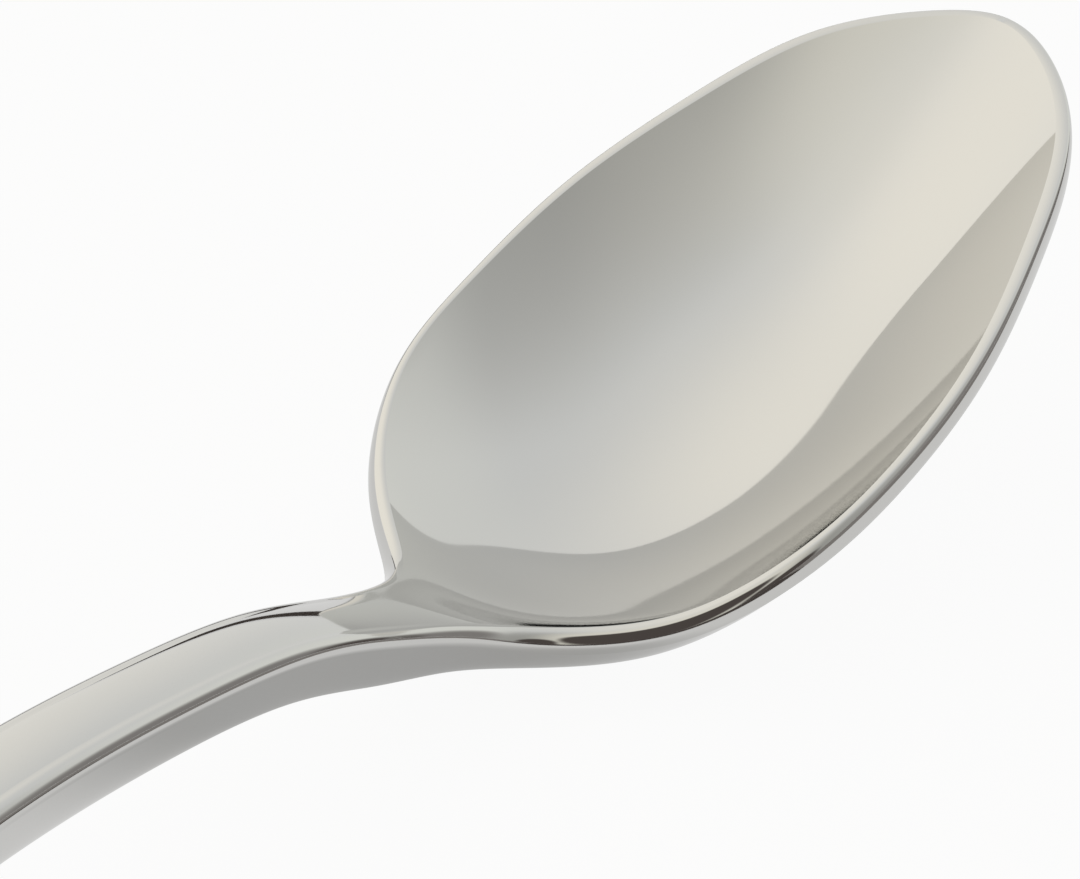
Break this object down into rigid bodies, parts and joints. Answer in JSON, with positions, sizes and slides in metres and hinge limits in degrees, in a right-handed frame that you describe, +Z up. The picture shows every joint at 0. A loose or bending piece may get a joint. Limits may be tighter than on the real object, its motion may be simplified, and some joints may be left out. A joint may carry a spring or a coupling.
{
  "type": "teaspoon",
  "caption": "Polished stainless steel teaspoon with an egg-shaped bowl and a slim arched handle that widens to a rounded end.",
  "frame": {"origin": "centre of the bounding box on the table that the spoon rests on", "axes": "+X along the spoon from the end of the handle to the tip of the bowl, +Z up from the table, Y across the spoon, which is symmetrical about Y = 0"},
  "size_m": [0.14, 0.0268, 0.0189],
  "materials": {
    "polished_steel": "mirror polished stainless steel"
  },
  "bodies": {
    "root": {"bowl": "polished_steel", "neck": "polished_steel", "stem": "polished_steel", "handle_end": "polished_steel"}
  },
  "joints": []
}
